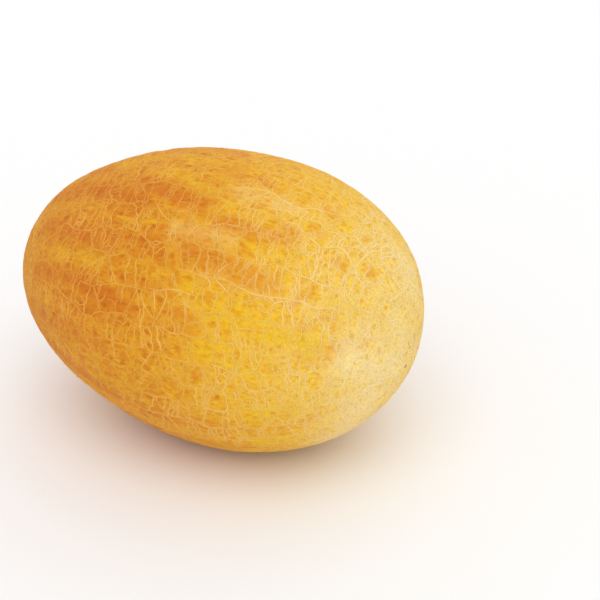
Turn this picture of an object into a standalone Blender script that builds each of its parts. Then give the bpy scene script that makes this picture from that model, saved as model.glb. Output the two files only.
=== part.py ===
"""Long oval netted melon of a Central Asian kind, sold as a cantaloupe, lying on its side.

Blender 4.5, metres, +Z up. The fruit's long axis lies along X: the stem scar is at the -X end and the
blossom scar at the +X end. The origin is on the surface that the melon rests on, under the middle of
its box. The melon grew as one piece, so it is one solid: the skin, the raised cork net that covers it,
the two scars and the small flat spot that it lies on.

The net is a Voronoi pattern. Its cells grow from seeds set along lanes that run from end to end, so
that long cords follow the fruit and shorter rungs cross between them.
"""

import math
import random

import bmesh
import bpy
from mathutils import Vector, noise

# Size and shape of the fruit
LENGTH = 0.250
HALF_LENGTH = LENGTH / 2
GIRTH_RADIUS = 0.0878
FULLNESS = 2.06  # exponent of the side outline: 2 is an ellipse, more is blunter
BLOSSOM_SWELL = 0.085  # how much the girth grows from the middle to the blossom end
HEIGHT_TO_WIDTH = 0.975
LUMP_HEIGHT = 0.0016
LUMPS_ACROSS = 1.7  # periods of the lumps over one radius
REST_CUT = 0.0022  # how far the flat ground spot cuts into the round underside

# The raised net
LANES = 34
LANE_ENDS = (0.13, 0.62, 0.31, 0.62)  # a lane stops where the fruit narrows to this share of its girth
CELL_LENGTH = 0.0116
LENGTH_SCATTER = 0.30  # of a cell's length
LANE_SCATTER = 0.20  # of a lane's width
CLOSEST_SEEDS = 0.0074
NET_WAVE = 0.055  # how far the net is drawn out of its lanes, in radii
NET_WAVES_ACROSS = 2.6
CORD_HEIGHT = 0.0020
CORD_HALF_WIDTH = 0.0017
SHORTEST_CORD = 0.0030
BARE_RIM = 0.0012  # the cords start this far above the surface that the melon rests on
FULL_CORDS = 0.0080  # and reach their full height this far above that
NET_SEED = 7

# Scars at the two ends
STEM_SCAR_RADIUS = 0.0080
STEM_SCAR_DEPTH = 0.0022
STEM_SCAR_SIDES = 11
BLOSSOM_SCAR_RADIUS = 0.0042
BLOSSOM_SCAR_DEPTH = 0.0010
BLOSSOM_SCAR_SIDES = 8

SHARP_ANGLE = math.radians(24)
SKIN_COLOUR = (0.83, 0.47, 0.08, 1.0)
SKIN_ROUGHNESS = 0.5


def clear_scene():
    for obj in list(bpy.data.objects):
        bpy.data.objects.remove(obj)


def direction_at(turn, angle):
    """The unit vector at this turn from the stem scar to the blossom scar, and this angle round the fruit."""
    return Vector(
        (-math.cos(turn), math.sin(turn) * math.cos(angle), math.sin(turn) * math.sin(angle))
    )


def skin_point(direction, height=0.0):
    """The point of the skin in this direction from the fruit's middle, raised by height."""
    along = direction.x
    across = math.hypot(direction.y, direction.z)
    blunt = (abs(along) ** FULLNESS + across**FULLNESS) ** (-1 / FULLNESS)
    radius = GIRTH_RADIUS * blunt * (1 + BLOSSOM_SWELL * along)
    point = Vector(
        (
            HALF_LENGTH * blunt * along,
            radius * direction.y,
            radius * direction.z * HEIGHT_TO_WIDTH,
        )
    )
    lump = LUMP_HEIGHT * noise.noise(direction * LUMPS_ACROSS)
    return point * (1 + (lump + height) / point.length)


def scar_seeds(tip, radius, sides):
    """One seed on the tip and a ring round it, whose cells leave a round scar of this radius between them."""
    seeds = [Vector((tip, 0, 0))]
    turn = 2 * radius / GIRTH_RADIUS
    for side in range(sides):
        ring = direction_at(turn, 2 * math.pi * side / sides)
        seeds.append(Vector((-tip * ring.x, ring.y, ring.z)))
    return seeds


def is_free(seed, seeds):
    """Whether a seed is far enough from the others, so that no cell is too narrow for its cords."""
    return all((seed - other).length > CLOSEST_SEEDS / GIRTH_RADIUS for other in seeds)


def lane_seeds(rng):
    """Seeds in lanes from end to end. Some lanes stop early, because the fruit narrows there."""
    seeds = []
    first_turn = (2 * STEM_SCAR_RADIUS + CELL_LENGTH / 2) / GIRTH_RADIUS
    last_turn = math.pi - (2 * BLOSSOM_SCAR_RADIUS + CELL_LENGTH / 2) / GIRTH_RADIUS
    for lane in range(LANES):
        turn = first_turn + rng.uniform(0, CELL_LENGTH) / GIRTH_RADIUS
        while turn < last_turn:
            width = math.sin(turn)
            scatter = LANE_SCATTER * rng.uniform(-1, 1)
            seed = direction_at(turn, 2 * math.pi * (lane + scatter) / LANES)
            if width > LANE_ENDS[lane % len(LANE_ENDS)] and is_free(seed, seeds):
                seeds.append(seed)
            step = CELL_LENGTH * (1 + LENGTH_SCATTER * rng.uniform(-1, 1))
            turn += step / math.hypot(HALF_LENGTH * width, GIRTH_RADIUS * math.cos(turn))
    return seeds


def voronoi_cells(seeds):
    """The corners of the seeds' Voronoi cells on the unit ball, and each cell's ring of corners. A corner is
    the normal of one triangle of the seeds' convex hull."""
    hull = bmesh.new()
    bmesh.ops.convex_hull(hull, input=[hull.verts.new(seed) for seed in seeds])
    hull.verts.index_update()
    triangles = sorted(sorted(vert.index for vert in face.verts) for face in hull.faces)
    hull.free()
    corners = []
    cells = [[] for _ in seeds]
    for number, triangle in enumerate(triangles):
        first, second, third = (seeds[place] for place in triangle)
        normal = (second - first).cross(third - first).normalized()
        corners.append(normal if normal.dot(first) > 0 else -normal)
        for place in triangle:
            cells[place].append(number)
    for seed, cell in zip(seeds, cells):
        side = seed.orthogonal()
        above = seed.cross(side)
        cell.sort(key=lambda number: math.atan2(corners[number].dot(above), corners[number].dot(side)))
    return corners, cells


def voronoi_ball(seeds):
    """A unit ball whose faces are the Voronoi cells of the seeds."""
    corners, cells = voronoi_cells(seeds)
    ball = bmesh.new()
    verts = [ball.verts.new(waved(corner)) for corner in corners]
    for cell in cells:
        ball.faces.new([verts[number] for number in cell])
    return ball


def waved(direction):
    """The direction moved a little by smooth noise, which makes the net's lines wander."""
    wave = noise.noise_vector(direction * NET_WAVES_ACROSS)
    return (direction + NET_WAVE * wave).normalized()


def smooth_step(share):
    share = min(max(share, 0.0), 1.0)
    return share * share * (3 - 2 * share)


def netted_skin(ball):
    """Lays the cells on the skin with cords standing between them, and gives the height of the cut that
    makes the flat ground spot."""
    stretch = Vector((HALF_LENGTH, GIRTH_RADIUS, GIRTH_RADIUS * HEIGHT_TO_WIDTH))
    bmesh.ops.scale(ball, vec=stretch, verts=ball.verts)
    bmesh.ops.dissolve_degenerate(ball, dist=SHORTEST_CORD, edges=ball.edges)
    cords = set(ball.verts)
    cells = list(ball.faces)
    bmesh.ops.inset_individual(ball, faces=cells, thickness=CORD_HALF_WIDTH, use_even_offset=True)
    middles = set(bmesh.ops.poke(ball, faces=cells)["verts"])
    directions = {
        vert: Vector(a / b for a, b in zip(vert.co, stretch)).normalized() for vert in ball.verts
    }
    rest = min(skin_point(direction).z for direction in directions.values()) + REST_CUT
    scar_reach = math.cos(BLOSSOM_SCAR_RADIUS / GIRTH_RADIUS / 2)
    for vert, direction in directions.items():
        height = 0.0
        if vert in cords:
            above_rim = skin_point(direction).z - rest - BARE_RIM
            height = CORD_HEIGHT * smooth_step(above_rim / FULL_CORDS)
        elif vert in middles and abs(direction.x) > scar_reach:
            height = -STEM_SCAR_DEPTH if direction.x < 0 else -BLOSSOM_SCAR_DEPTH
        vert.co = skin_point(direction, height)
    return rest


def cut_rest(melon, rest):
    """Cuts the flat ground spot at this height, and moves the melon so that it stands there on Z = 0, with
    its box over the origin."""
    geometry = [*melon.verts, *melon.edges, *melon.faces]
    cut = bmesh.ops.bisect_plane(
        melon, geom=geometry, plane_co=(0, 0, rest), plane_no=(0, 0, 1), clear_inner=True
    )
    edges = [item for item in cut["geom_cut"] if isinstance(item, bmesh.types.BMEdge)]
    bmesh.ops.edgeloop_fill(melon, edges=edges)
    middle_x, middle_y = (
        (min(vert.co[axis] for vert in melon.verts) + max(vert.co[axis] for vert in melon.verts)) / 2
        for axis in (0, 1)
    )
    bmesh.ops.translate(melon, vec=(-middle_x, -middle_y, -rest), verts=melon.verts)


def skin_material():
    material = bpy.data.materials.new("melon_skin")
    material.use_nodes = True
    shader = material.node_tree.nodes["Principled BSDF"]
    shader.inputs["Base Color"].default_value = SKIN_COLOUR
    shader.inputs["Roughness"].default_value = SKIN_ROUGHNESS
    shader.inputs["Metallic"].default_value = 0.0
    return material


def build_melon():
    rng = random.Random(NET_SEED)
    noise.seed_set(NET_SEED)
    seeds = scar_seeds(-1, STEM_SCAR_RADIUS, STEM_SCAR_SIDES)
    seeds += scar_seeds(1, BLOSSOM_SCAR_RADIUS, BLOSSOM_SCAR_SIDES)
    seeds += lane_seeds(rng)
    melon = voronoi_ball(seeds)
    rest = netted_skin(melon)
    cut_rest(melon, rest)
    mesh = bpy.data.meshes.new("melon")
    melon.to_mesh(mesh)
    melon.free()
    mesh.shade_smooth()
    mesh.set_sharp_from_angle(angle=SHARP_ANGLE)
    mesh.materials.append(skin_material())
    obj = bpy.data.objects.new("melon", mesh)
    collection = bpy.data.collections.new("cantaloupe")
    bpy.context.scene.collection.children.link(collection)
    collection.objects.link(obj)


clear_scene()
build_melon()
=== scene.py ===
"""The look of a long netted melon: golden skin with orange streaks under a pale, thin cork net.

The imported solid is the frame. It is replaced by a skin, by a finer cork net whose cords are half sunk in
it, and by the corky scars at the two ends. Places on the fruit are unit directions from its middle, or a
turn and an angle: the turn goes from 0 at the stem scar (-X) to 180 degrees at the blossom scar (+X), and
the angle goes round the fruit, with 90 degrees on top and 180 degrees at the front (-Y).
"""

import math
import random
from collections import namedtuple

import bmesh
import bpy
import numpy as np
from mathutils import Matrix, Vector, kdtree, noise


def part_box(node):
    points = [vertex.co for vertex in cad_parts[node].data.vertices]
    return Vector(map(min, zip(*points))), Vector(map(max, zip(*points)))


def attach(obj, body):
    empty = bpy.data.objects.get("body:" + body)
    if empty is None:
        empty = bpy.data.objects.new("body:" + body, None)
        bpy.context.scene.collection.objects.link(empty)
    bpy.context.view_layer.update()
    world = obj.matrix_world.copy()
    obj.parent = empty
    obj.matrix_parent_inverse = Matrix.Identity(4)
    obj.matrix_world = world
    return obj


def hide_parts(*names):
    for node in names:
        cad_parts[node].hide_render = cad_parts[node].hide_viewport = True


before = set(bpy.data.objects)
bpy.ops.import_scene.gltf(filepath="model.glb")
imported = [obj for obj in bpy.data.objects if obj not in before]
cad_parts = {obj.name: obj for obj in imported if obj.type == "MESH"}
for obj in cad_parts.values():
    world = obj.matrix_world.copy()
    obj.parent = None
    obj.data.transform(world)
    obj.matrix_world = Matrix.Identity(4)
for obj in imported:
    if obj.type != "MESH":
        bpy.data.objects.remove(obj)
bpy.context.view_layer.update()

NODE = "melon"
MM = 0.001

# The fruit's shape and its main cords, as the frame has them
HALF_LENGTH = 0.125
GIRTH_RADIUS = 0.0878
FULLNESS = 2.06
BLOSSOM_SWELL = 0.085
HEIGHT_TO_WIDTH = 0.975
LUMP_HEIGHT = 0.0016
LUMPS_ACROSS = 1.7
REST_CUT = 0.0022
LANES = 34
LANE_ENDS = (0.13, 0.62, 0.31, 0.62)
CELL_LENGTH = 0.0116
LENGTH_SCATTER = 0.30
LANE_SCATTER = 0.20
CLOSEST_SEEDS = 0.0074
NET_WAVE = 0.055
NET_WAVES_ACROSS = 2.6
NET_SEED = 7
STEM_SCAR_RADIUS = 0.0080
STEM_SCAR_SIDES = 11
STEM_SCAR_DEPTH = 0.0022
BLOSSOM_SCAR_RADIUS = 0.0042
BLOSSOM_SCAR_SIDES = 8
BLOSSOM_SCAR_DEPTH = 0.0010
STRETCH = Vector((HALF_LENGTH, GIRTH_RADIUS, GIRTH_RADIUS * HEIGHT_TO_WIDTH))

# The skin
SKIN_GRID = 122  # squares along each side of the cube that the skin is blown up from
REST_ROUNDING = 0.0004
DIP_REACH = 0.3  # the share of a scar's radius over which the skin sinks under it
SKIN_SWELL = 0.00030  # how far the skin rises to its cords
SWELL_REACH = 0.0016
GRAIN_HEIGHT = 0.00012
GRAIN_WAVES = 19.0  # over one radius
HALO_REACH = 0.0013  # how far the pale colour beside a cord reaches
CELL_EDGE = 0.0006  # a cell's deeper colour starts this far from its cords
CELL_REACH = 0.0015  # and is full this much farther in

# The finer cords. Each kind grows from the kinds before it. Sizes are shares of the kind's half width, and
# pales are how much paler a cord is than its place asks.
MAIN_HALF_WIDTH = 0.00058
MAIN_SIZES = (0.5, 1.1)
MAIN_PALES = (-0.35, 0.15)
MAIN_STEP = 0.00125
WANDERS = ((7.5, 0.017), (17.0, 0.009))  # waves over one radius, and how far they move a main cord
CORD_STEP = 0.0010
MEETING_REACH = 0.0008  # a growing cord ends when it comes this near another
CORD_WAVE = 0.40  # radians that a growing cord swings to either side
RUNG_WAVE = 0.36
CORD_WAVE_LENGTH = 0.0070
RUNG_GAP_IN_STREAKS = 0.0023
RUNG_GAP = 0.0085
RUNG_TILT = 0.50  # radians
RUNG_HALF_WIDTH = 0.00045
RUNG_SIZES = (0.65, 1.3)
RUNG_PALES = (-0.25, 0.5)
RUNG_LENGTHS = (0.008, 0.030)
LENGTHWISE = 0.6  # rungs start where the cosine of a main cord's heading is at least this
BRANCH_GAP = 0.0125
BRANCH_HALF_WIDTH = 0.00037
BRANCH_LENGTHS = (0.003, 0.010)
HAIR_GAP = 0.0110
HAIR_HALF_WIDTH = 0.00026
HAIR_LENGTHS = (0.0015, 0.0045)
OFFSHOOT_SIZES = (0.75, 1.25)
OFFSHOOT_PALES = (-0.3, 0.3)
THICKNESS_WAVES = 23.0  # over one radius, as the next
PALE_WAVES = 4.0
TAPER = 0.35  # the share of a cord's length over which a free end tapers off
BARE_RIM = 0.0012  # the cords start this far above the surface that the melon rests on
FULL_CORDS = 0.0070  # and reach their full height this far above that
GROWTH_SEED = 21
# Across the cord, up from the skin, and how much of the cord's own colour it shows there
CORD_SECTION = (
    (-1.12, -0.20, 0.0), (-0.56, 0.62, 0.85), (0.0, 0.95, 1.0), (0.56, 0.62, 0.85), (1.12, -0.20, 0.0)
)
HAIR_SECTION = ((-1.0, -0.20, 0.0), (0.0, 0.95, 1.0), (1.0, -0.20, 0.0))
SHARP_ANGLE = math.radians(75)
CORD_STEEPNESS = 0.58  # a cord's height over its half width

# The camera, from the outline of the fruit in the 600 x 600 photograph
SENSOR = 36.0
CAMERA_AZIMUTH = 27.0
CAMERA_ELEVATION = 28.5
CAMERA_DISTANCE = 0.930
CAMERA_LENS = 94.6
AIM_RIGHT = 0.0485  # from the fruit's middle, across the view
AIM_UP = -0.0040

# Streaks seen in the photograph: turn and angle of the two ends in degrees, half width in mm, strength
SEEN_STREAKS = (
    (40, 108, 58, 113, 9.0, 0.80), (58, 112, 80, 119, 8.0, 1.00), (76, 111, 98, 117, 8.0, 0.95),
    (97, 119, 108, 122, 5.0, 0.80), (103, 122, 108, 122, 4.5, 1.00), (110, 121, 115, 122, 4.5, 1.00),
    (117, 120, 122, 120, 5.0, 1.00), (120, 115, 123, 116, 3.5, 0.95), (127, 110, 129, 110, 2.8, 0.80),
    (46, 133, 60, 136, 7.0, 0.90), (52, 141, 76, 142, 6.0, 0.75), (58, 136, 68, 138, 6.5, 1.00),
    (61, 143, 64, 145, 4.0, 0.95), (68, 134, 90, 137, 7.0, 0.75), (86, 134, 92, 139, 4.5, 0.70),
    (98, 135, 122, 139, 7.0, 0.80), (112, 140, 121, 141, 4.0, 1.00), (76, 150, 96, 152, 4.0, 0.35),
    (48, 159, 60, 156, 7.0, 0.95), (58, 155, 72, 155, 7.0, 1.00), (70, 157, 86, 160, 7.0, 1.00),
    (97, 158, 104, 158, 3.5, 0.65), (60, 164, 84, 166, 6.0, 0.60), (93, 164, 104, 163, 4.0, 0.45),
    (52, 96, 60, 98, 6.5, 0.80), (86, 74, 93, 78, 5.0, 0.55), (78, 92, 82, 95, 3.5, 0.80),
    (106, 96, 110, 98, 3.0, 0.80), (100, 98, 102, 100, 2.5, 0.60), (126, 96, 129, 96, 2.8, 0.80),
    (136, 118, 139, 118, 3.0, 0.85), (146, 109, 148, 109, 2.8, 0.80), (132, 154, 136, 152, 2.8, 0.60),
    (129, 145, 133, 137, 3.0, 0.60), (139, 146, 144, 149, 3.5, 0.60), (141, 163, 154, 159, 5.0, 0.60),
    (134, 168, 142, 170, 3.5, 0.50), (40, 183, 61, 182, 7.0, 0.60), (60, 176, 78, 178, 6.0, 0.60),
)
# Lemon yellow patches, in the same way. The last three, on the fruit's top, are partly the skin's own yellow
# and partly painted light falling on the top from above
SEEN_YELLOWS = (
    (117, 156, 138, 163, 8.0, 1.00), (99, 121, 105, 113, 6.0, 0.55), (82, 102, 96, 109, 6.0, 0.45),
    (56, 147, 74, 146, 6.0, 0.50), (102, 149, 113, 156, 7.0, 0.70), (115, 128, 128, 126, 6.0, 0.55),
    (129, 105, 133, 92, 6.0, 0.50), (108, 170, 126, 172, 8.0, 0.80), (140, 140, 150, 136, 6.0, 0.50),
    (64, 94, 96, 88, 8.0, 0.45), (100, 84, 128, 78, 9.0, 0.45), (90, 68, 125, 64, 8.0, 0.40),
)
# Pale patches in the same way: nearly bare near the blossom end, and weak in the middle
PALES = (
    (150, 170, 168, 200, 13.0, 1.00), (155, 215, 140, 245, 20.0, 0.90), (104, 106, 119, 105, 6.0, 0.25),
    (93, 128, 108, 127, 5.0, 0.20), (165, 130, 172, 160, 8.0, 0.55), (150, 75, 162, 60, 12.0, 0.50),
)
HIDDEN_ANGLES = (195, 425)  # the side that the photograph doesn't show
HIDDEN_STREAK_STEP = 21  # degrees round the fruit
HIDDEN_STREAK_STARTS = (28, 48)  # turns in degrees, as the lengths and gaps are
HIDDEN_STREAK_END = 150
HIDDEN_STREAK_LENGTHS = (6, 24)
HIDDEN_STREAK_GAPS = (3, 22)
HIDDEN_STREAK_HALF_WIDTHS = (3.0, 7.5)
HIDDEN_YELLOW_STEP = 26
HIDDEN_YELLOW_TURNS = ((50, 80), (95, 125))
HIDDEN_YELLOW_LENGTH = 12
HIDDEN_YELLOW_HALF_WIDTH = 7.0
STREAK_SEED = 5

# Pale cords that stand out in the photograph: the turns and angles that they pass through, in degrees
SEEN_CORDS = (
    ((104, 142), (118, 144), (127, 143), (136, 142), (145, 140)),
    ((96, 108), (103, 105), (110, 102), (119, 103), (129, 95), (139, 86)),
    ((117, 117), (116, 121), (118, 124)), ((119, 113), (121, 111), (124, 112), (125, 116)),
    ((127, 110), (127, 114), (130, 115), (131, 118)), ((123, 95), (125, 99), (128, 102)),
    ((112, 110), (115, 109), (118, 107), (121, 108)), ((84, 118), (87, 123), (92, 127)),
    ((90, 122), (93, 121), (96, 116)), ((111, 135), (109, 139), (109, 144)),
    ((107, 141), (109, 144), (112, 146)), ((117, 128), (118, 134), (118, 138), (120, 144)),
    ((121, 138), (123, 144)), ((103, 142), (106, 143), (108, 147)),
    ((126, 123), (128, 128), (129, 135), (130, 140)), ((115, 133), (113, 139)),
    ((91, 152), (95, 152), (98, 150), (103, 150)), ((89, 153), (90, 158), (93, 161)),
    ((96, 150), (97, 154), (95, 160)), ((93, 151), (94, 159)), ((102, 153), (102, 159)),
    ((123, 107), (126, 105), (130, 106), (134, 104)), ((137, 107), (140, 103), (144, 102)),
    ((134, 117), (135, 122), (137, 127)), ((142, 109), (143, 116), (147, 120)),
    ((133, 143), (138, 142), (142, 141), (147, 142)), ((141, 129), (142, 136), (146, 140)),
)
SEEN_CORD_HALF_WIDTH = 0.00054
SEEN_CORD_PALE = 0.6
HIDDEN_LONG_CORDS = 26
HIDDEN_LONG_TURNS = (70, 140)
HIDDEN_LONG_HEADINGS = (0.0, 0.0, math.pi / 2)  # two run along the fruit for each that crosses it
HIDDEN_LONG_LENGTHS = (0.008, 0.030)
HIDDEN_LONG_BOW = 0.5
END_REACH = 0.004  # how far the ends of these cords run on to meet another

# Dry brown flecks: turn, angle and radius in mm. The first is seen in the photograph.
FLECKS = (
    (171, 250, 1.70), (58, 222, 0.8), (83, 262, 1.0), (112, 241, 0.6), (97, 312, 0.9),
    (64, 335, 0.6), (128, 348, 0.8), (41, 20, 0.7), (88, 38, 0.5), (149, 290, 0.6), (22, 150, 0.8),
)
FLECK_HEIGHT = 0.00085
FLECK_SINK = 0.00030
FLECK_RINGS = 4
FLECK_SECTORS = 14

# The scars: heights at shares of the radius from the middle to the rim, which is sunk in the skin
STEM_SCAR_PROFILE = (
    (0.0, -0.0004), (0.12, -0.0006), (0.45, -0.0013), (0.70, -0.0002), (0.86, 0.0009), (0.94, 0.0007),
    (1.0, -0.0011),
)
BLOSSOM_SCAR_PROFILE = (
    (0.0, 0.0001), (0.20, -0.0002), (0.50, -0.0003), (0.80, 0.0002), (0.92, 0.0001), (1.0, -0.0009),
)
STEM_SCAR_CRACKS = (8, 0.0007)  # how many, and how deep
BLOSSOM_SCAR_CRACKS = (5, 0.0001)
SCAR_SECTORS = 96
SCAR_RINGS = 14
SCAR_LUMP = 0.054  # of the scar's radius

# The studio: each light's name, strength and direction of travel
LIGHTS = (("softbox", 0.80, (-0.22, 0.45, -0.90)), ("fill", 0.28, (0.25, -0.80, -0.60)))
LIGHT_SPREAD = math.radians(60)
WORLD_STRENGTH = 0.80
FLOOR_REACH = 30.0


def smooth_step(share):
    share = np.clip(share, 0.0, 1.0)
    return share * share * (3 - 2 * share)


def direction_at(turn, angle):
    """The unit vector at this turn from the stem scar and this angle round the fruit, both in radians."""
    return Vector(
        (-math.cos(turn), math.sin(turn) * math.cos(angle), math.sin(turn) * math.sin(angle))
    )


def axes_at(place):
    """Unit vectors along and round the fruit at this place, each divided by the metres to one radian."""
    along = (Vector((1, 0, 0)) - place * place.x).normalized()
    around = place.cross(along)
    return along / (along * STRETCH).length, around / (around * STRETCH).length


def skin_points(directions, heights=0.0):
    """The points of the skin in these directions from the fruit's middle, raised by these heights."""
    along = directions[:, 0]
    across = np.hypot(directions[:, 1], directions[:, 2])
    blunt = (np.abs(along) ** FULLNESS + across**FULLNESS) ** (-1 / FULLNESS)
    radius = GIRTH_RADIUS * blunt * (1 + BLOSSOM_SWELL * along)
    points = np.stack(
        (
            HALF_LENGTH * blunt * along,
            radius * directions[:, 1],
            radius * directions[:, 2] * HEIGHT_TO_WIDTH,
        ),
        axis=1,
    )
    lumps = LUMP_HEIGHT * noise_at(directions, LUMPS_ACROSS)
    return points * (1 + (lumps + heights) / np.linalg.norm(points, axis=1))[:, None]


def noise_at(directions, waves_across):
    return np.array([noise.noise(Vector(place) * waves_across) for place in directions])


def skin_normals(points):
    """Outward unit vectors of the ellipsoid that the skin follows."""
    normals = points / np.array(STRETCH) ** 2
    return normals / np.linalg.norm(normals, axis=1)[:, None]


def cube_ball(grid):
    """The vertices and squares of a cube blown up to a unit ball, with squares of nearly the same size."""
    index = {}
    faces = []
    steps = [math.tan((2 * i / grid - 1) * math.pi / 4) for i in range(grid + 1)]
    frames = (((1, 0, 0), (0, 1, 0)), ((0, 1, 0), (0, 0, 1)), ((0, 0, 1), (1, 0, 0)))
    for right, up in frames:
        for side in (1, -1):
            across = Vector(right) * side
            above = Vector(up)
            out = across.cross(above)
            ids = []
            for i in range(grid + 1):
                for j in range(grid + 1):
                    place = (out + across * steps[i] + above * steps[j]).normalized()
                    key = tuple(round(value, 6) + 0.0 for value in place)
                    ids.append(index.setdefault(key, len(index)))
            for i in range(grid):
                for j in range(grid):
                    first = i * (grid + 1) + j
                    faces.append(
                        (ids[first], ids[first + grid + 1], ids[first + grid + 2], ids[first + 1])
                    )
    verts = np.array(list(index))
    return verts / np.linalg.norm(verts, axis=1)[:, None], faces


def turns_and_angles(directions):
    turns = np.arccos(np.clip(-directions[:, 0], -1, 1))
    angles = np.arctan2(directions[:, 2], directions[:, 1])
    return turns, angles


def patch_strength(directions, patches):
    """How strongly each place is coloured by the patches, from 0 to 1."""
    turns, angles = turns_and_angles(directions)
    round_the_fruit = GIRTH_RADIUS * np.sin(turns)
    strength = np.zeros(len(directions))
    for turn_0, angle_0, turn_1, angle_1, half_width, amount in patches:
        start = np.radians((turn_0, angle_0))
        end = np.radians((turn_1, angle_1))
        x = HALF_LENGTH * (turns - start[0])
        y = round_the_fruit * ((angles - start[1] + np.pi) % (2 * np.pi) - np.pi)
        run_x = HALF_LENGTH * (end[0] - start[0])
        run_y = round_the_fruit * (end[1] - start[1])
        share = np.clip((x * run_x + y * run_y) / (run_x**2 + run_y**2 + 1e-12), 0, 1)
        distance = np.hypot(x - share * run_x, y - share * run_y) / (half_width * MM)
        strength = np.maximum(strength, amount * np.exp(-(distance**2)))
    return strength


def hidden_streaks():
    """Streaks for the side that the photograph doesn't show, more and stronger towards the stem end."""
    rng = random.Random(STREAK_SEED)
    streaks = []
    for angle in range(*HIDDEN_ANGLES, HIDDEN_STREAK_STEP):
        turn = rng.uniform(*HIDDEN_STREAK_STARTS)
        lane = angle + rng.uniform(-6, 6)
        while turn < HIDDEN_STREAK_END:
            length = rng.uniform(*HIDDEN_STREAK_LENGTHS)
            amount = rng.uniform(0.5, 1.0) * (1.15 - turn / 220)
            half_width = rng.uniform(*HIDDEN_STREAK_HALF_WIDTHS)
            drift = rng.uniform(-4, 4)
            streaks.append((turn, lane, turn + length, lane + drift, half_width, amount))
            turn += length + rng.uniform(*HIDDEN_STREAK_GAPS)
            lane += drift
    return streaks


def hidden_yellows():
    """Lemon yellow patches for that side, two in each lane round the fruit."""
    rng = random.Random(STREAK_SEED + 1)
    yellows = []
    for lane in range(*HIDDEN_ANGLES, HIDDEN_YELLOW_STEP):
        for turn in [rng.uniform(*turns) for turns in HIDDEN_YELLOW_TURNS]:
            start = (turn, lane + rng.uniform(-8, 8))
            end = (turn + HIDDEN_YELLOW_LENGTH, lane + rng.uniform(-8, 8))
            yellows.append((*start, *end, HIDDEN_YELLOW_HALF_WIDTH, rng.uniform(0.3, 1.0)))
    return yellows


def scar_seeds(tip, radius, sides):
    """A seed on the tip and a ring round it, whose cells leave a round scar of this radius between them."""
    seeds = [Vector((tip, 0, 0))]
    turn = 2 * radius / GIRTH_RADIUS
    for side in range(sides):
        ring = direction_at(turn, 2 * math.pi * side / sides)
        seeds.append(Vector((-tip * ring.x, ring.y, ring.z)))
    return seeds


def is_free(seed, seeds):
    return all((seed - other).length > CLOSEST_SEEDS / GIRTH_RADIUS for other in seeds)


def lane_seeds(rng):
    """Seeds in lanes from end to end. Some lanes stop early, because the fruit narrows there."""
    seeds = []
    first_turn = (2 * STEM_SCAR_RADIUS + CELL_LENGTH / 2) / GIRTH_RADIUS
    last_turn = math.pi - (2 * BLOSSOM_SCAR_RADIUS + CELL_LENGTH / 2) / GIRTH_RADIUS
    for lane in range(LANES):
        turn = first_turn + rng.uniform(0, CELL_LENGTH) / GIRTH_RADIUS
        while turn < last_turn:
            width = math.sin(turn)
            scatter = LANE_SCATTER * rng.uniform(-1, 1)
            seed = direction_at(turn, 2 * math.pi * (lane + scatter) / LANES)
            if width > LANE_ENDS[lane % len(LANE_ENDS)] and is_free(seed, seeds):
                seeds.append(seed)
            step = CELL_LENGTH * (1 + LENGTH_SCATTER * rng.uniform(-1, 1))
            turn += step / math.hypot(HALF_LENGTH * width, GIRTH_RADIUS * math.cos(turn))
    return seeds


def waved(direction):
    wave = noise.noise_vector(direction * NET_WAVES_ACROSS)
    return (direction + NET_WAVE * wave).normalized()


def voronoi_cells(seeds):
    """The corners of the seeds' Voronoi cells on the unit ball, and each cell's ring of corners. A corner is
    the normal of one triangle of the seeds' convex hull."""
    hull = bmesh.new()
    bmesh.ops.convex_hull(hull, input=[hull.verts.new(seed) for seed in seeds])
    hull.verts.index_update()
    triangles = sorted(sorted(vert.index for vert in face.verts) for face in hull.faces)
    hull.free()
    corners = []
    cells = [[] for _ in seeds]
    for number, triangle in enumerate(triangles):
        first, second, third = (seeds[place] for place in triangle)
        normal = (second - first).cross(third - first).normalized()
        corners.append(normal if normal.dot(first) > 0 else -normal)
        for place in triangle:
            cells[place].append(number)
    for seed, cell in zip(seeds, cells):
        side = seed.orthogonal()
        above = seed.cross(side)
        cell.sort(key=lambda number: math.atan2(corners[number].dot(above), corners[number].dot(side)))
    return corners, cells


def main_net():
    """The corners of the frame's net and its cells, each a ring of corners, without the two scars."""
    rng = random.Random(NET_SEED)
    seeds = scar_seeds(-1, STEM_SCAR_RADIUS, STEM_SCAR_SIDES)
    blossom_scar = len(seeds)
    seeds += scar_seeds(1, BLOSSOM_SCAR_RADIUS, BLOSSOM_SCAR_SIDES)
    seeds += lane_seeds(rng)
    corners, cells = voronoi_cells(seeds)
    kept = [cell for place, cell in enumerate(cells) if place not in (0, blossom_scar)]
    return [waved(corner) for corner in corners], kept


def wandered(direction):
    """The direction moved by fine noise, which gives the cords their wavy run."""
    moved = direction.copy()
    for waves, reach in WANDERS:
        moved += reach * noise.noise_vector(direction * waves)
    return moved.normalized()


def main_path(start, end):
    """A wavy path between two corners of the frame's net."""
    steps = max(3, math.ceil(((end - start) * STRETCH).length / MAIN_STEP))
    return [wandered(start.lerp(end, number / steps).normalized()) for number in range(steps + 1)]


def routed_path(places):
    """A smooth path through places given by turn and angle in degrees."""
    points = [direction_at(math.radians(turn), math.radians(angle)) for turn, angle in places]
    points = [2 * points[0] - points[1], *points, 2 * points[-1] - points[-2]]
    path = []
    for before, start, end, after in zip(points, points[1:], points[2:], points[3:]):
        steps = max(2, round(((end - start) * STRETCH).length / CORD_STEP))
        for number in range(steps):
            share = number / steps
            bend = before - 2.5 * start + 2 * end - 0.5 * after
            twist = 1.5 * start - 0.5 * before - 1.5 * end + 0.5 * after
            point = start + (end - before) * 0.5 * share + bend * share**2 + twist * share**3
            path.append(wandered(point.normalized()))
    return [*path, wandered(points[-2])]


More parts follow.
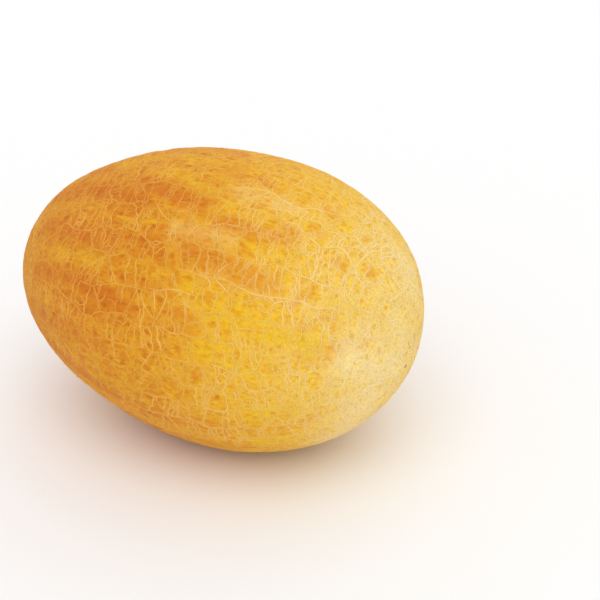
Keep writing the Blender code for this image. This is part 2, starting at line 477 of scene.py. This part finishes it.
def heading_at(path, number):
    """The angle between a path and the fruit's long axis at one of its points."""
    run = path[min(number + 1, len(path) - 1)] - path[max(number - 1, 0)]
    along, around = axes_at(path[number])
    return math.atan2(run.dot(around) / around.length_squared, run.dot(along) / along.length_squared)


# Its path over the fruit, half width in metres, how much paler it is than its place asks, and whether each
# of its ends tapers off
Cord = namedtuple("Cord", "path half_width pale tapers")


class Net:
    """The cords of the net, as lists of one kind each."""

    def __init__(self, streaks):
        self.rng = random.Random(GROWTH_SEED)
        self.streaks = streaks
        self.main = []
        self.long = []
        self.rungs = []
        self.branches = []
        self.hairs = []

    def grow(self):
        corners, cells = main_net()
        edges = set()
        for cell in cells:
            for start, end in zip(cell, cell[1:] + cell[:1]):
                edges.add((min(start, end), max(start, end)))
        for start, end in sorted(edges):
            path = main_path(corners[start], corners[end])
            half_width = MAIN_HALF_WIDTH * self.rng.uniform(*MAIN_SIZES)
            self.main.append(Cord(path, half_width, self.rng.uniform(*MAIN_PALES), (False, False)))
        self.add_long_cords()
        self.add_rungs()
        parents = [*self.main, *self.long, *self.rungs]
        self.add_offshoots(self.branches, parents, BRANCH_GAP, BRANCH_HALF_WIDTH, BRANCH_LENGTHS)
        parents = [*self.main, *self.rungs, *self.branches]
        self.add_offshoots(self.hairs, parents, HAIR_GAP, HAIR_HALF_WIDTH, HAIR_LENGTHS)

    def all_points(self):
        """A tree of the points of all cords so far, in which a growing cord finds the one that it meets."""
        kinds = (self.main, self.long, self.rungs, self.branches)
        points = [point * STRETCH for kind in kinds for cord in kind for point in cord.path]
        tree = kdtree.KDTree(len(points))
        for number, point in enumerate(points):
            tree.insert(point, number)
        tree.balance()
        return tree

    def add_long_cords(self):
        """The pale cords that stand out, and some like them on the side that isn't seen."""
        paths = [routed_path(places) for places in SEEN_CORDS]
        tree = self.all_points()
        for _ in range(HIDDEN_LONG_CORDS):
            turn = math.radians(self.rng.uniform(*HIDDEN_LONG_TURNS))
            start = direction_at(turn, math.radians(self.rng.uniform(*HIDDEN_ANGLES)))
            heading = self.rng.choice(HIDDEN_LONG_HEADINGS) + self.rng.uniform(-0.3, 0.3)
            length = self.rng.uniform(*HIDDEN_LONG_LENGTHS)
            paths.append(curling_path(self.rng, start, heading, length, HIDDEN_LONG_BOW, RUNG_WAVE))
        for path in paths:
            for _ in range(2):
                path.reverse()
                extend(path, tree)
            self.long.append(Cord(path, SEEN_CORD_HALF_WIDTH, SEEN_CORD_PALE, (True, True)))

    def add_rungs(self):
        """Cords that start from those along the fruit and cross it, close together where it is streaked and
        towards the blossom end."""
        tree = self.all_points()
        for cord in self.main:
            strengths = patch_strength(np.array(cord.path), self.streaks)
            left = self.rng.uniform(0, RUNG_GAP_IN_STREAKS)
            side = self.rng.choice((-1, 1))
            for number in range(1, len(cord.path) - 1):
                if abs(math.cos(heading_at(cord.path, number))) < LENGTHWISE:
                    continue
                left -= MAIN_STEP
                if left > 0:
                    continue
                start = cord.path[number]
                blossom_side = smooth_step((math.acos(-start.x) - 1.6) / 0.5)
                closeness = min(1, max(1.5 * strengths[number], 0.75 * blossom_side))
                gap = RUNG_GAP + (RUNG_GAP_IN_STREAKS - RUNG_GAP) * closeness
                left = gap * self.rng.uniform(0.6, 1.4)
                side *= self.rng.choice((-1, -1, -1, 1))
                tilt = RUNG_TILT * (1.7 * noise.noise(start * 3) + self.rng.uniform(-0.3, 0.3))
                bow = 1.6 * noise.noise(start * 2.3 + Vector((7, 3, 5))) + self.rng.uniform(-0.4, 0.4)
                length = self.rng.uniform(*RUNG_LENGTHS)
                half_width = RUNG_HALF_WIDTH * self.rng.uniform(*RUNG_SIZES)
                heading = side * math.pi / 2 + tilt
                path, met = self.grown_path(tree, start, heading, length, bow, RUNG_WAVE)
                self.rungs.append(Cord(path, half_width, self.rng.uniform(*RUNG_PALES), (False, not met)))

    def add_offshoots(self, kind, parents, gap, half_width, lengths):
        """Thinner cords that leave their parents at nearly right angles."""
        tree = self.all_points()
        for parent in parents:
            left = self.rng.uniform(0, gap)
            for number in range(1, len(parent.path) - 1):
                left -= CORD_STEP
                if left > 0:
                    continue
                left = gap * self.rng.uniform(0.5, 1.5)
                side = self.rng.choice((-1, 1))
                aside = side * (math.pi / 2 + self.rng.gauss(0, 0.45))
                heading = heading_at(parent.path, number) + aside
                length = self.rng.uniform(*lengths)
                bow = self.rng.uniform(-1.1, 1.1)
                path, met = self.grown_path(tree, parent.path[number], heading, length, bow, CORD_WAVE)
                size = half_width * self.rng.uniform(*OFFSHOOT_SIZES)
                kind.append(Cord(path, size, self.rng.uniform(*OFFSHOOT_PALES), (False, not met)))

    def grown_path(self, tree, start, heading, length, bow, swing):
        """A wavy path from a cord until it meets another or has this length, and whether it met one."""
        path = curling_path(self.rng, start, heading, length, bow, swing)
        for number, place in enumerate(path):
            if in_scar(place):
                return path[: max(number, 2)], False
            met, _, distance = tree.find(place * STRETCH)
            if number > 2 and distance < MEETING_REACH:
                end = Vector(value / size for value, size in zip(met, STRETCH)).normalized()
                goes_on = (end - place).dot(place - path[number - 1]) > 0
                return path[: number + 1] + [end] * goes_on, True
        return path, False


def curling_path(rng, start, heading, length, bow, swing):
    """A path that leaves at this heading from the fruit's long axis, turns by the bow on its way, and swings
    to either side."""
    steps = max(3, round(length / CORD_STEP))
    phase = rng.uniform(0, 2 * math.pi)
    path = [start]
    for number in range(steps):
        wave = math.sin(phase + 2 * math.pi * number * CORD_STEP / CORD_WAVE_LENGTH)
        angle = heading + bow * (number / steps - 0.5) + swing * wave
        along, around = axes_at(path[-1])
        move = along * math.cos(angle) + around * math.sin(angle)
        path.append((path[-1] + move * CORD_STEP).normalized())
    return path


def extend(path, tree):
    """Runs a path on until it meets a cord, if there is one near its end."""
    run = path[-1] - path[-2]
    more = []
    place = path[-1]
    for _ in range(round(END_REACH / CORD_STEP)):
        place = (place + run).normalized()
        more.append(place)
        if tree.find(place * STRETCH)[2] < MEETING_REACH:
            path.extend(more)
            return


class Place:
    """Where the fruit stands: its middle is moved so that it rests on Z = 0 under the frame's box."""

    def __init__(self, directions):
        points = skin_points(directions)
        low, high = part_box(NODE)
        middle = (points.min(axis=0) + points.max(axis=0)) / 2
        self.offset = np.array(
            (
                (low[0] + high[0]) / 2 - middle[0],
                (low[1] + high[1]) / 2 - middle[1],
                -points[:, 2].min() - REST_CUT,
            )
        )

    def stand(self, points):
        """Puts points of the skin where the fruit stands, and flattens those below its ground spot."""
        moved = points + self.offset
        height = moved[:, 2]
        moved[:, 2] = (height + np.sqrt(height**2 + REST_ROUNDING**2)) / 2
        return moved


def paleness(directions, streak):
    """How pale the cords are at each place: about 0 to 1, and most at the blossom end."""
    turns, _ = turns_and_angles(directions)
    blossom_end = smooth_step((turns - 1.65) / 0.75)
    stem_end = smooth_step((1.15 - turns) / 0.55)
    patchy = noise_at(directions, PALE_WAVES)
    return 0.38 + 0.12 * streak + 0.42 * blossom_end - 0.25 * stem_end + 0.50 * patchy


def build_cords(name, cords, section, place, patches, material):
    """One mesh of closed tubes, half sunk in the skin, along the cords. Gives the directions they pass."""
    directions = np.array([tuple(point) for cord in cords for point in cord.path])
    points = skin_points(directions, SKIN_SWELL)
    normals = skin_normals(points)
    fade = smooth_step(((points + place.offset)[:, 2] - BARE_RIM) / FULL_CORDS)
    tints = {tint: patch_strength(directions, rows) for tint, rows in patches.items()}
    pale = paleness(directions, tints["streak"])
    thickness = 0.76 + 0.46 * np.clip(pale, 0, 1) + 0.55 * noise_at(directions, THICKNESS_WAVES)
    section = np.array(section)
    sides = len(section)
    verts, faces = [], []
    values = {value_name: [] for value_name in ("pale", "ridge", *tints)}
    first = 0
    count = 0
    for cord in cords:
        length = len(cord.path)
        rows = slice(first, first + length)
        first += length
        if fade[rows].mean() < 0.1:
            continue
        spine = points[rows]
        normal = normals[rows]
        across = np.cross(np.gradient(spine, axis=0), normal)
        across /= np.linalg.norm(across, axis=1)[:, None]
        size = cord.half_width * thickness[rows] * tapers(length, cord.tapers)
        width = size[:, None, None] * section[None, :, 0, None] * across[:, None, :]
        rise = (size * CORD_STEEPNESS * fade[rows])[:, None, None] * section[None, :, 1, None]
        verts.append((spine[:, None, :] + width + rise * normal[:, None, :]).reshape(-1, 3))
        base = count + np.arange(length - 1)[:, None] * sides
        ring = np.arange(sides)[None, :]
        after = (ring + 1) % sides
        corners = (base + ring, base + after, base + sides + after, base + sides + ring)
        faces.extend(np.stack(corners, axis=-1).reshape(-1, 4).tolist())
        faces.append([count + side for side in reversed(range(sides))])
        faces.append([count + (length - 1) * sides + side for side in range(sides)])
        values["pale"].append(np.repeat(np.clip(pale[rows] + cord.pale, 0, 1), sides))
        values["ridge"].append(np.tile(section[:, 2], length))
        for tint, strength in tints.items():
            values[tint].append(np.repeat(strength[rows], sides))
        count += length * sides
    piece = make_piece(name, place.stand(np.concatenate(verts)), faces, material)
    for value_name, parts in values.items():
        add_values(piece, value_name, np.concatenate(parts))
    piece.data.set_sharp_from_angle(angle=SHARP_ANGLE)
    return directions


def tapers(length, ends):
    """A share of the full thickness for each point of a cord whose ends may taper off."""
    share = np.linspace(0, 1, length)
    thickness = np.ones(length)
    for tapering, from_end in zip(ends, (share, share[::-1])):
        if tapering:
            thickness = np.minimum(thickness, np.sqrt(np.clip(from_end / TAPER, 0.03, 1)))
    return thickness


def make_piece(name, points, faces, material):
    """A smooth mesh piece that rides on the frame's only body and stands for its only node."""
    mesh = bpy.data.meshes.new(name)
    mesh.from_pydata(points.tolist(), [], faces)
    mesh.shade_smooth()
    mesh.materials.append(material)
    piece = bpy.data.objects.new(name, mesh)
    bpy.context.scene.collection.objects.link(piece)
    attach(piece, "root")
    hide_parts(NODE)
    return piece


def add_values(piece, name, values):
    attribute = piece.data.attributes.new(name, "FLOAT", "POINT")
    attribute.data.foreach_set("value", np.asarray(values, dtype=np.float32))


def nearest(directions, targets):
    """For each direction, the distance in metres to the nearest target."""
    stretch = np.array(STRETCH)
    tree = kdtree.KDTree(len(targets))
    for place, target in enumerate(targets * stretch):
        tree.insert(target, place)
    tree.balance()
    return np.array([tree.find(point)[2] for point in directions * stretch])


def in_scar(place):
    """Whether a place lies in one of the two scars."""
    tip, radius = (-1, STEM_SCAR_RADIUS) if place.x < 0 else (1, BLOSSOM_SCAR_RADIUS)
    return GIRTH_RADIUS * place.angle(waved(Vector((tip, 0, 0)))) < radius


def scar_dip(directions):
    """How far the skin sinks under its two scars."""
    dip = np.zeros(len(directions))
    for tip, radius, depth in (
        (-1, STEM_SCAR_RADIUS, STEM_SCAR_DEPTH), (1, BLOSSOM_SCAR_RADIUS, BLOSSOM_SCAR_DEPTH)
    ):
        middle = np.array(waved(Vector((tip, 0, 0))))
        distance = GIRTH_RADIUS * np.arccos(np.clip(directions @ middle, -1, 1))
        dip += depth * smooth_step((1 - distance / radius) / DIP_REACH)
    return dip


def build_skin(directions, faces, cord_directions, place, patches, material):
    """The skin, which rises to its cords and sinks under its scars."""
    distance = nearest(directions, cord_directions)
    swell = SKIN_SWELL * np.exp(-((distance / SWELL_REACH) ** 2))
    grain = GRAIN_HEIGHT * noise_at(directions, GRAIN_WAVES)
    points = place.stand(skin_points(directions, swell + grain - scar_dip(directions)))
    piece = make_piece("melon_skin", points, faces, material)
    for tint, rows in patches.items():
        add_values(piece, tint, patch_strength(directions, rows))
    add_values(piece, "cell", smooth_step((distance - CELL_EDGE) / CELL_REACH))
    add_values(piece, "cord", np.exp(-((distance / HALO_REACH) ** 2)))


def build_scar(name, tip, radius, profile, cracks, place, material):
    """A corky scar on a tip of the fruit, with cracks that run out from its middle."""
    crack_count, crack_depth = cracks
    rng = random.Random(name)
    shares, heights = zip(*profile)
    directions, rises = [], []
    phases = [rng.uniform(0, 2 * math.pi) for _ in range(3)]
    for ring in range(SCAR_RINGS + 1):
        share = ring / SCAR_RINGS
        for sector in range(SCAR_SECTORS):
            angle = 2 * math.pi * sector / SCAR_SECTORS
            edge = 1 + 0.06 * math.sin(3 * angle + phases[0]) + 0.04 * math.sin(7 * angle + phases[1])
            direction = direction_at(max(share, 1e-4) * edge * radius / GIRTH_RADIUS, angle)
            directions.append(tuple(waved(Vector((-tip * direction.x, direction.y, direction.z)))))
            wobble = 0.1 * math.sin(9 * share + phases[2])
            crack = max(0.0, math.cos(crack_count * (angle + wobble))) ** 8
            depth = crack_depth * crack * math.sin(math.pi * min(1, share * 1.1))
            lump = noise.noise(Vector((share * 7, math.cos(angle) * 2, math.sin(angle) * 2)))
            lump *= SCAR_LUMP * radius * math.sin(math.pi * share)
            rises.append(np.interp(share, shares, heights) - depth + lump)
    points = raised_points(directions, rises)
    faces = ring_faces(0, SCAR_RINGS + 1, SCAR_SECTORS)
    if tip < 0:
        faces = [tuple(reversed(face)) for face in faces]
    piece = make_piece(name, points + place.offset, faces, material)
    piece.data.set_sharp_from_angle(angle=SHARP_ANGLE)


def raised_points(directions, heights):
    """Points at these heights above the skin."""
    points = skin_points(np.array(directions))
    return points + skin_normals(points) * np.array(heights)[:, None]


def ring_faces(first, rings, sectors):
    """The faces between rings of points that widen from the first one on, closed by a face at each end."""
    faces = []
    for ring in range(rings - 1):
        inner = first + ring * sectors
        outer = inner + sectors
        for sector in range(sectors):
            after = (sector + 1) % sectors
            faces.append((inner + sector, outer + sector, outer + after, inner + after))
    last = first + (rings - 1) * sectors
    faces.append(tuple(first + sector for sector in range(sectors)))
    faces.append(tuple(last + sector for sector in reversed(range(sectors))))
    return faces


def build_flecks(place, material):
    """Low domes of dry skin, their rims sunk below it."""
    rng = random.Random("dry_flecks")
    directions, heights, faces = [], [], []
    for turn, angle, radius in FLECKS:
        middle = direction_at(math.radians(turn), math.radians(angle))
        along, around = axes_at(middle)
        faces += ring_faces(len(directions), FLECK_RINGS, FLECK_SECTORS)
        phase = rng.uniform(0, 2 * math.pi)
        for ring in range(1, FLECK_RINGS + 1):
            share = ring / FLECK_RINGS
            for sector in range(FLECK_SECTORS):
                side = 2 * math.pi * sector / FLECK_SECTORS
                edge = 1 + 0.22 * math.sin(2 * side + phase) + 0.12 * math.sin(5 * side - phase)
                reach = radius * MM * share * edge
                move = along * math.cos(side) + around * math.sin(side)
                directions.append(tuple((middle + move * reach).normalized()))
                heights.append(FLECK_HEIGHT - (FLECK_HEIGHT + FLECK_SINK) * share**2)
    make_piece("dry_flecks", place.stand(raised_points(directions, heights)), faces, material)


def colour(code):
    """Linear RGBA from an sRGB hex code."""
    parts = [int(code[place : place + 2], 16) / 255 for place in (0, 2, 4)]
    linear = [part / 12.92 if part <= 0.04045 else ((part + 0.055) / 1.055) ** 2.4 for part in parts]
    return (*linear, 1)


class Shader:
    """A node material, built up from inputs to the Principled BSDF."""

    def __init__(self, name):
        self.material = bpy.data.materials.new(name)
        self.material.use_nodes = True
        self.tree = self.material.node_tree
        self.bsdf = self.tree.nodes["Principled BSDF"]
        self.place = self.add("ShaderNodeTexCoord").outputs["Object"]

    def add(self, kind, **settings):
        node = self.tree.nodes.new(kind)
        for key, value in settings.items():
            setattr(node, key, value)
        return node

    def put(self, value, socket):
        """Links a socket, or sets the value of this one."""
        if isinstance(value, (int, float, tuple)):
            socket.default_value = value
        else:
            self.tree.links.new(value, socket)

    def attribute(self, name):
        return self.add("ShaderNodeAttribute", attribute_name=name).outputs["Fac"]

    def maths(self, operation, *values):
        node = self.add("ShaderNodeMath", operation=operation, use_clamp=True)
        for value, socket in zip(values, node.inputs):
            self.put(value, socket)
        return node.outputs[0]

    def times(self, first, second):
        return self.maths("MULTIPLY", first, second)

    def mix(self, first, second, factor, blend="MIX"):
        node = self.add("ShaderNodeMix", data_type="RGBA", blend_type=blend, clamp_factor=True)
        for value, number in ((factor, 0), (first, 6), (second, 7)):
            self.put(value, node.inputs[number])
        return node.outputs[2]

    def ramp(self, value, *stops):
        """Colours at positions of the value, given as hex codes."""
        node = self.add("ShaderNodeValToRGB")
        elements = node.color_ramp.elements
        while len(elements) < len(stops):
            elements.new(0.5)
        for element, (position, code) in zip(elements, stops):
            element.position = position
            element.color = colour(code)
        self.put(value, node.inputs[0])
        return node.outputs["Color"]

    def texture(self, kind, scale, stretch, shift):
        """A texture with this many waves to a metre, drawn out along the fruit by the stretch."""
        mapping = self.add("ShaderNodeMapping")
        self.put(self.place, mapping.inputs["Vector"])
        mapping.inputs["Location"].default_value = (shift, shift, shift)
        mapping.inputs["Scale"].default_value = (scale / stretch, scale, scale)
        node = self.add(kind)
        self.put(mapping.outputs[0], node.inputs["Vector"])
        node.inputs["Scale"].default_value = 1.0
        return node

    def noise(self, scale, stretch=1.0, detail=3.0, shift=0.0):
        node = self.texture("ShaderNodeTexNoise", scale, stretch, shift)
        node.inputs["Detail"].default_value = detail
        return node.outputs["Fac"]

    def dots(self, scale, stretch, edge, shift=0.0):
        """Ragged dots in some cells of a Voronoi pattern. The larger the edge, the larger the dots."""
        node = self.texture("ShaderNodeTexVoronoi", scale, stretch, shift)
        raggedness = self.noise(scale * 5, detail=2)
        distance = self.maths("MULTIPLY_ADD", raggedness, 0.5, node.outputs["Distance"])
        dot = self.window(distance, 0.25 + edge, 0.15 + edge * 0.6)
        return self.times(dot, self.window(node.outputs["Color"], 0.40, 0.62))

    def window(self, value, low, high):
        """0 at low, 1 at high, and smooth between."""
        node = self.add("ShaderNodeMapRange", interpolation_type="SMOOTHSTEP")
        for number, amount in enumerate((value, low, high)):
            self.put(amount, node.inputs[number])
        return node.outputs["Result"]

    def along(self):
        """0 at the stem end and 1 at the blossom end."""
        split = self.add("ShaderNodeSeparateXYZ")
        self.put(self.place, split.inputs[0])
        node = self.add("ShaderNodeMapRange")
        for number, amount in enumerate((split.outputs["X"], -HALF_LENGTH, HALF_LENGTH)):
            self.put(amount, node.inputs[number])
        return node.outputs["Result"]

    def finish(self, shade, height, bump_strength, bump_distance, radius, **values):
        """Joins the colour and the bump to the shader, and sets its other values by their names."""
        self.put(shade, self.bsdf.inputs["Base Color"])
        bump = self.add("ShaderNodeBump")
        bump.inputs["Strength"].default_value = bump_strength
        bump.inputs["Distance"].default_value = bump_distance
        self.put(height, bump.inputs["Height"])
        self.put(bump.outputs["Normal"], self.bsdf.inputs["Normal"])
        self.bsdf.inputs["Subsurface Radius"].default_value = radius
        for name, value in values.items():
            self.bsdf.inputs[name.replace("_", " ")].default_value = value
        return self.material


def skin_material():
    shader = Shader("melon_skin")
    along = shader.along()
    mottle = shader.noise(95, 2.2, detail=5)
    patchy = shader.window(mottle, 0.28, 0.60)

    # Golden skin, from dull at the stem end to pale at the blossom end, with brighter blotches
    shade = shader.ramp(
        along, (0.0, "E0A030"), (0.14, "DE9A2A"), (0.28, "DC9020"), (0.50, "DF971C"), (0.74, "EEB42A"),
        (0.90, "F8D056"), (1.0, "FCDE84"),
    )
    golden = shader.ramp(along, (0.0, "E2A428"), (0.5, "EAB020"), (0.8, "F6CA30"), (1.0, "FAD660"))
    blotches = shader.window(shader.noise(210, 1.8, detail=3, shift=3.0), 0.45, 0.62)
    shade = shader.mix(shade, golden, shader.times(blotches, 0.75))

    # Orange in the streaks, in some of the net's cells and in small dabs
    orange = shader.ramp(along, (0.0, "C86E18"), (0.45, "D07416"), (0.72, "DB841C"), (1.0, "EBA832"))
    streak = shader.times(shader.attribute("streak"), shader.maths("MULTIPLY_ADD", patchy, 0.50, 0.60))
    shade = shader.mix(shade, orange, streak)
    uneven = shader.window(shader.noise(190, 1.3, detail=3, shift=6.0), 0.42, 0.58)
    cells = shader.times(shader.attribute("cell"), uneven)
    cell_strength = shader.ramp(along, (0.2, "C0C0C0"), (0.8, "808080"))
    shade = shader.mix(shade, orange, shader.times(cells, cell_strength))
    dabs = shader.window(shader.noise(360, 1.6, detail=3, shift=9.0), 0.53, 0.64)
    shade = shader.mix(shade, orange, shader.times(dabs, 0.45))

    # Darker dots of two sizes
    spot = shader.ramp(along, (0.0, "B85C14"), (0.5, "C66A14"), (0.75, "E2961E"), (1.0, "EEB438"))
    shade = shader.mix(shade, spot, shader.times(shader.dots(165, 1.3, 0.40), 0.75))
    shade = shader.mix(shade, spot, shader.times(shader.dots(310, 1.3, 0.38, shift=4.0), 0.55))

    # Paler skin beside the cords, lemon yellow patches (on the top partly painted light from above), and bare
    # pale patches
    pale = shader.ramp(along, (0.0, "E29C30"), (0.5, "E8AA34"), (0.78, "F4C650"), (1.0, "FADA80"))
    halo = shader.ramp(along, (0.50, "404040"), (0.88, "D0D0D0"))
    shade = shader.mix(shade, pale, shader.times(shader.attribute("cord"), halo))
    lemon_and_top_light = shader.times(shader.attribute("lemon_and_top_light"), shader.window(mottle, 0.38, 0.60))
    shade = shader.mix(shade, colour("F0C41A"), shader.times(lemon_and_top_light, 0.80))
    bare = shader.times(shader.attribute("bare"), shader.maths("MULTIPLY_ADD", patchy, 0.3, 0.7))
    shade = shader.mix(shade, colour("FDE29A"), shader.times(bare, 0.90))

    # Fine grain and brown specks over everything
    fine = shader.noise(560, 2.5, detail=5)
    grain = shader.ramp(fine, (0.30, "E8D0A0"), (0.52, "FFFFFF"))
    shade = shader.mix(shade, grain, 0.8, "MULTIPLY")
    specks = shader.window(shader.noise(760, 1.4, detail=1, shift=5.0), 0.64, 0.72)
    shade = shader.mix(shade, colour("C4761A"), shader.times(specks, 0.35))
    return shader.finish(
        shade, fine, 0.25, 0.0004, (1.0, 0.45, 0.12),
        Roughness=0.62, Subsurface_Weight=0.10, Subsurface_Scale=0.003, Specular_IOR_Level=0.15,
        Sheen_Weight=0.14, Sheen_Tint=(1.0, 0.72, 0.28, 1.0),
    )


def net_material():
    shader = Shader("cork_net")
    along = shader.along()
    streak = shader.attribute("streak")
    dull = shader.ramp(
        along, (0.0, "E09C38"), (0.30, "E29C32"), (0.55, "E8A834"), (0.78, "F2C24C"), (1.0, "F8D670")
    )
    pale = shader.ramp(
        along, (0.0, "ECAC50"), (0.30, "F4B65A"), (0.55, "FBC268"), (0.78, "FED47C"), (1.0, "FFE4A8")
    )
    shade = shader.mix(dull, pale, shader.attribute("pale"))
    blush = shader.ramp(along, (0.0, "DE8836"), (0.40, "E38E3A"), (0.70, "F2AA56"), (1.0, "FAD088"))
    shade = shader.mix(shade, blush, shader.times(streak, 0.75))
    # Lemon yellow patches, which on the fruit's top are partly painted light from above
    shade = shader.mix(shade, colour("F2C63E"), shader.times(shader.attribute("lemon_and_top_light"), 0.80))

    # The cords' edges take the colour of the skin beside them
    edge = shader.ramp(along, (0.0, "DA922A"), (0.50, "E4A02A"), (0.78, "F0BA40"), (1.0, "F6CC60"))
    edge = shader.mix(edge, colour("D67E22"), shader.times(streak, 0.6))
    shade = shader.mix(edge, shade, shader.attribute("ridge"))
    shade = shader.mix(shade, colour("FFE9AE"), shader.times(shader.attribute("bare"), 0.80))
    crumbs = shader.noise(1500, detail=2)
    shade = shader.mix(shade, shader.ramp(crumbs, (0.3, "DCC09A"), (0.6, "FFFFFF")), 0.5, "MULTIPLY")
    return shader.finish(
        shade, crumbs, 0.35, 0.0002, (1.0, 0.6, 0.3),
        Roughness=0.7, Subsurface_Weight=0.10, Subsurface_Scale=0.002, Specular_IOR_Level=0.12,
    )


def scar_material(name, light, dark):
    shader = Shader(name)
    fibres = shader.noise(900, 0.6, detail=4)
    lumps = shader.noise(300, detail=2, shift=2.0)
    shade = shader.ramp(fibres, (0.30, dark), (0.62, light))
    shade = shader.mix(shade, colour(light), shader.times(shader.window(lumps, 0.45, 0.65), 0.5))
    return shader.finish(
        shade, fibres, 0.6, 0.0004, (1.0, 0.6, 0.3), Roughness=0.85, Specular_IOR_Level=0.2
    )


def add_floor():
    mesh = bpy.data.meshes.new("floor")
    corners = [(FLOOR_REACH * x, FLOOR_REACH * y, 0) for x, y in ((-1, -1), (1, -1), (1, 1), (-1, 1))]
    mesh.from_pydata(corners, [], [(0, 1, 2, 3)])
    material = bpy.data.materials.new("floor")
    material.use_nodes = True
    shader = material.node_tree.nodes["Principled BSDF"]
    shader.inputs["Base Color"].default_value = colour("F7F7F7")
    shader.inputs["Roughness"].default_value = 0.9
    mesh.materials.append(material)
    floor = bpy.data.objects.new("floor", mesh)
    bpy.context.scene.collection.objects.link(floor)


def add_light():
    world = bpy.data.worlds.new("studio")
    world.use_nodes = True
    background = world.node_tree.nodes["Background"]
    background.inputs["Color"].default_value = (1.0, 1.0, 1.0, 1.0)
    background.inputs["Strength"].default_value = WORLD_STRENGTH
    bpy.context.scene.world = world
    bpy.context.scene.view_settings.view_transform = "Standard"
    for name, energy, travel in LIGHTS:
        sun = bpy.data.lights.new(name, "SUN")
        sun.energy = energy
        sun.angle = LIGHT_SPREAD
        lamp = bpy.data.objects.new(name, sun)
        lamp.rotation_euler = Vector(travel).to_track_quat("-Z", "Y").to_euler()
        bpy.context.scene.collection.objects.link(lamp)


def add_camera(place):
    azimuth = math.radians(CAMERA_AZIMUTH)
    elevation = math.radians(CAMERA_ELEVATION)
    level = Vector((math.sin(azimuth), -math.cos(azimuth), 0))
    back = level * math.cos(elevation) + Vector((0, 0, math.sin(elevation)))
    right = Vector((math.cos(azimuth), math.sin(azimuth), 0))
    up = back.cross(right)
    camera_data = bpy.data.cameras.new("camera")
    camera_data.sensor_width = SENSOR
    camera_data.lens = CAMERA_LENS
    camera_data.clip_start = 0.01
    camera = bpy.data.objects.new("camera", camera_data)
    aim = Vector(place.offset) + right * AIM_RIGHT + up * AIM_UP
    camera.location = aim + back * CAMERA_DISTANCE
    camera.rotation_euler = (-back).to_track_quat("-Z", "Y").to_euler()
    bpy.context.scene.collection.objects.link(camera)
    bpy.context.scene.camera = camera


def main():
    noise.seed_set(NET_SEED)
    patches = {
        "streak": [*SEEN_STREAKS, *hidden_streaks()],
        # Lemon yellow patches; those on the fruit's top are partly painted light from above
        "lemon_and_top_light": [*SEEN_YELLOWS, *hidden_yellows()],
        "bare": PALES,
    }
    directions, faces = cube_ball(SKIN_GRID)
    place = Place(directions)
    add_light()
    add_camera(place)
    add_floor()
    net = Net(patches["streak"])
    net.grow()
    cork = net_material()
    kinds = (
        ("cork_net_main", net.main),
        ("cork_net_long", net.long),
        ("cork_net_rungs_front", [cord for cord in net.rungs if cord.path[0].y < 0]),
        ("cork_net_rungs_back", [cord for cord in net.rungs if cord.path[0].y >= 0]),
        ("cork_net_branches", net.branches),
    )
    cord_directions = np.concatenate(
        [build_cords(name, cords, CORD_SECTION, place, patches, cork) for name, cords in kinds]
    )
    build_cords("cork_net_hairs", net.hairs, HAIR_SECTION, place, patches, cork)
    build_skin(directions, faces, cord_directions, place, patches, skin_material())
    stem_cork = scar_material("dry_stem_cork", "DCAE6C", "96683A")
    build_scar("stem_scar", -1, STEM_SCAR_RADIUS, STEM_SCAR_PROFILE, STEM_SCAR_CRACKS, place, stem_cork)
    blossom_cork = scar_material("pale_blossom_cork", "F6DA94", "EAC47A")
    build_scar(
        "blossom_scar", 1, BLOSSOM_SCAR_RADIUS, BLOSSOM_SCAR_PROFILE, BLOSSOM_SCAR_CRACKS, place, blossom_cork
    )
    build_flecks(place, scar_material("dry_skin", "C08A48", "A06C30"))


main()
